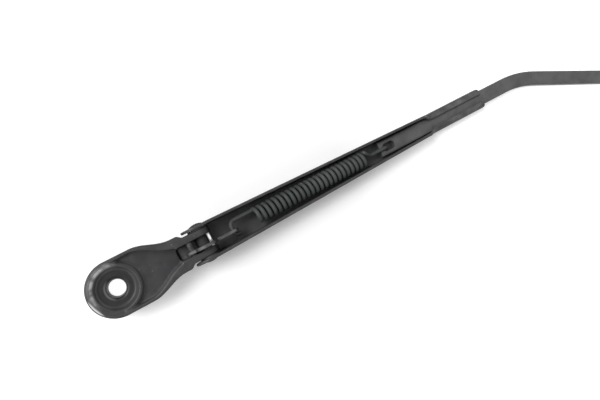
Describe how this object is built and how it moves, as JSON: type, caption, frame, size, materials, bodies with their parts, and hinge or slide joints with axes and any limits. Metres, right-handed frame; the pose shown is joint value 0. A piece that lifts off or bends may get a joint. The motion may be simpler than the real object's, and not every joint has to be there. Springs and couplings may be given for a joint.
{
  "type": "wiper arm",
  "caption": "Spring-loaded wiper arm with a cast mounting head, a folding sheet-metal channel with an open tension spring, and a flat bent bar ending in a hook.",
  "frame": {"origin": "on the axis of the spindle bore, level with the face of the bar", "axes": "+Z along the spindle bore, out of the windscreen side; +X along the arm toward the blade; +Y across the arm"},
  "size_m": [0.4536, 0.0855, 0.0221],
  "materials": {
    "black_paint": "satin",
    "bar_paint": "satin",
    "pin_steel": "satin",
    "spring_steel": "satin",
    "bush_plastic": "matte"
  },
  "bodies": {
    "head": {"mounting_head": "black_paint", "link_pin": "pin_steel", "hinge_bush_left": "bush_plastic", "hinge_bush_right": "bush_plastic"},
    "arm": {"channel": "black_paint", "bar": "bar_paint", "hinge_pin": "black_paint"},
    "link": {"spring_link": "black_paint"},
    "spring": {"tension_spring": "spring_steel"}
  },
  "joints": [
    {"name": "arm_fold", "type": "hinge", "parent": "head", "child": "arm", "pos_m": [0.0464, 0, 0.0021], "axis": [0, 1, 0], "range_deg": [0, 50], "stiffness_Nm_per_rad": 0.35, "springref_deg": -68.75, "deforming": ["tension_spring"]},
    {"name": "link_swing", "type": "hinge", "parent": "head", "child": "link", "pos_m": [0.0396, 0, 0.00527], "axis": [0, 1, 0], "range_deg": [0, 47.5]},
    {"name": "spring_swing", "type": "hinge", "parent": "arm", "child": "spring", "pos_m": [0.1623, 0, 0.0014], "axis": [0, 1, 0], "range_deg": [-3, 0]}
  ],
  "couplings": [
    {"joint": "link_swing", "follows": "arm_fold", "ratio": 0.941},
    {"joint": "spring_swing", "follows": "arm_fold", "ratio": -0.059}
  ]
}
